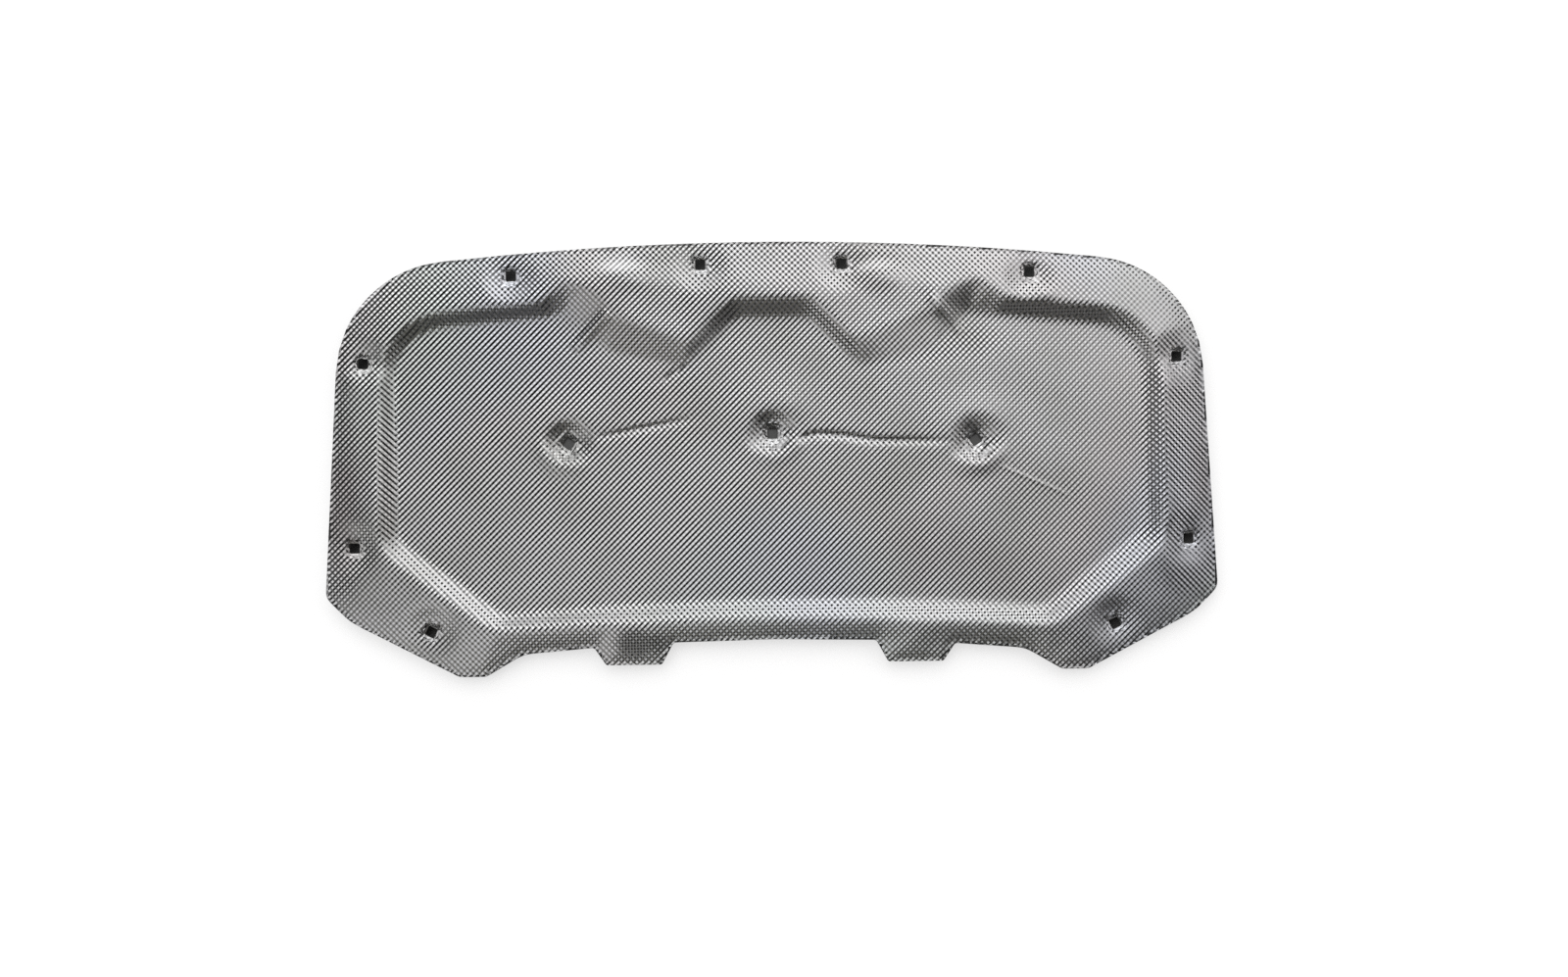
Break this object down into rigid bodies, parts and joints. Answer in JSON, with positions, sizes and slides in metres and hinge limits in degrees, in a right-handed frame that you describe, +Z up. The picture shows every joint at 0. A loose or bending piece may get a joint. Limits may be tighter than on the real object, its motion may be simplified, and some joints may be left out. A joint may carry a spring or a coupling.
{
  "type": "hood insulation pad",
  "caption": "Pressed fibre pad with an embossed foil face, a raised border, two lobes, rear feet and tabs, and square clip holes.",
  "frame": {"origin": "under the middle of the outline, on the flat back of the tray", "axes": "+X across the car, +Y to the crowned front edge, +Z up through the foil face"},
  "size_m": [1.1532, 0.557, 0.0225],
  "materials": {
    "embossed_foil": "embossed, satin",
    "fibre_back": "matt pressed fibre"
  },
  "bodies": {
    "root": {"hood_insulation_pad": "embossed_foil"}
  },
  "joints": []
}
